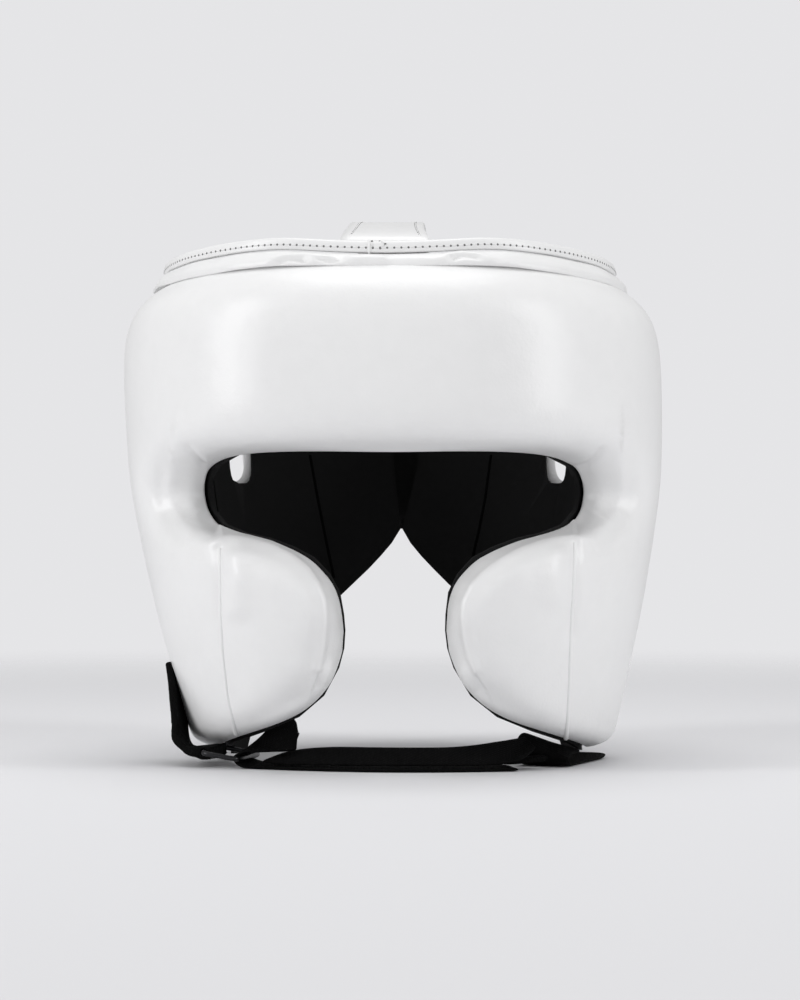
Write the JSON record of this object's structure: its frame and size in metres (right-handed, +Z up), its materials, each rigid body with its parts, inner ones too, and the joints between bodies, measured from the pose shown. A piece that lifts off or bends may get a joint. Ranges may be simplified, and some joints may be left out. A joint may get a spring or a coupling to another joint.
{
  "type": "boxing head guard",
  "caption": "Padded white leather boxing head guard with cheek pads, black lining, crown strap and webbing chin strap.",
  "frame": {"origin": "middle of the guard's box on the surface that it stands on", "axes": "+Z up; the face looks along -Y; +X to the right of someone facing the guard"},
  "size_m": [0.2348, 0.2482, 0.2344],
  "materials": {
    "white_leather": "semi-gloss",
    "black_lining": "matte",
    "black_webbing": "woven",
    "dark_steel": "dark"
  },
  "bodies": {
    "root": {"front_pad": "white_leather", "front_lining": "black_lining", "back_pad_left": "white_leather", "back_pad_right": "white_leather", "back_lining_left": "black_lining", "back_lining_right": "black_lining", "closure_flap": "white_leather", "top_gusset": "white_leather", "top_binding": "white_leather", "crown_strap": "white_leather", "ring_strap": "black_webbing", "strap_ring": "dark_steel", "chin_strap": "black_webbing", "strap_pile": "black_webbing", "anchor_strap": "black_webbing", "strap_link": "black_webbing"}
  },
  "joints": []
}
